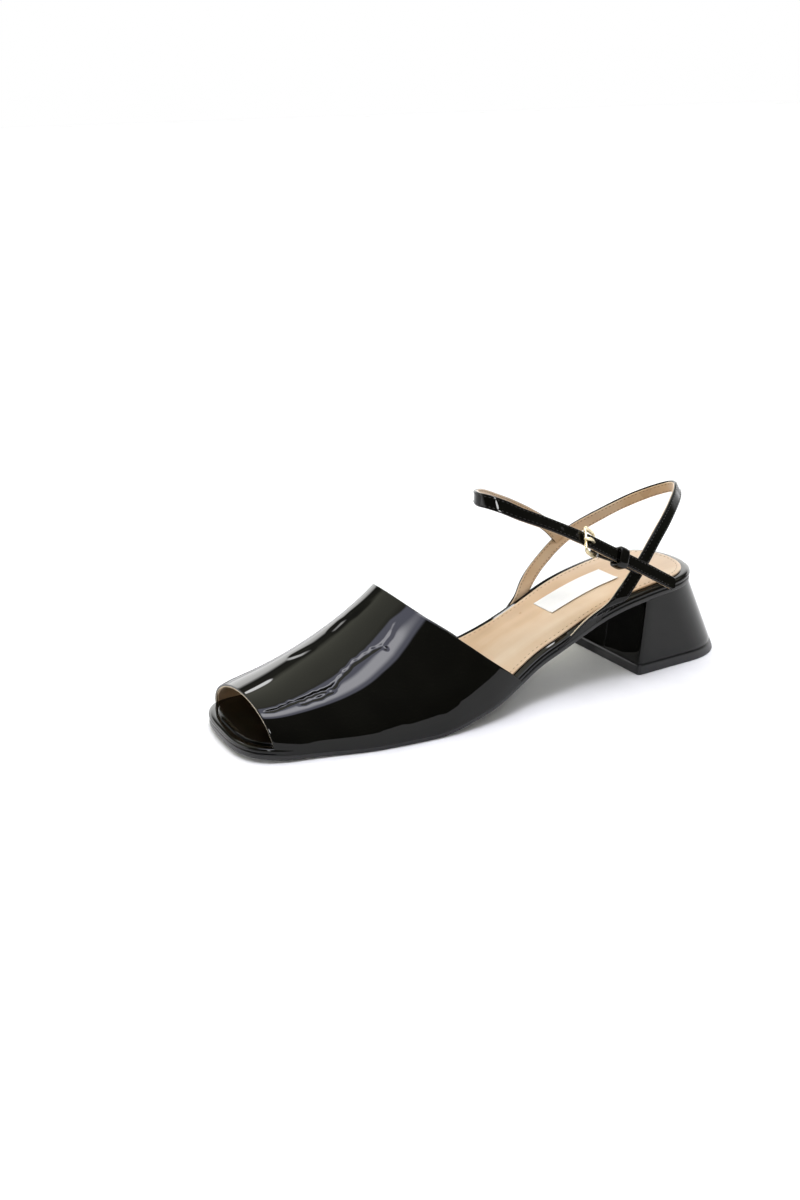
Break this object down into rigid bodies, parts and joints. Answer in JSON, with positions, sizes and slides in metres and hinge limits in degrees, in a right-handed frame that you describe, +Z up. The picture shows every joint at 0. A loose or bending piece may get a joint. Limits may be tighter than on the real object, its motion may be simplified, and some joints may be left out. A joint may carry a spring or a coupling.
{
  "type": "slingback sandal",
  "caption": "Left open-toe slingback sandal: hollow patent vamp, buckled sling and instep straps, contoured sole and low block heel.",
  "frame": {"origin": "middle of the heel's flat bottom, on the floor plane", "axes": "+X to the outer side of the left foot, +Y from the toe to the heel, +Z up from the floor"},
  "size_m": [0.0791, 0.2554, 0.0963],
  "materials": {
    "black_patent": "high-gloss patent",
    "black_rubber": "satin",
    "tan_leather": "smooth satin",
    "white_label": "matte",
    "pale_gold": "polished pale gold"
  },
  "bodies": {
    "root": {"outsole": "black_rubber", "heel_top_piece": "black_rubber", "heel_block": "black_patent", "insole_board": "black_patent", "insock": "tan_leather", "toe_sock": "black_patent", "label_patch": "white_label", "vamp": "black_patent", "ankle_straps": "black_patent", "keeper_loop": "black_patent", "buckle_frame": "pale_gold", "buckle_prong": "pale_gold"}
  },
  "joints": []
}
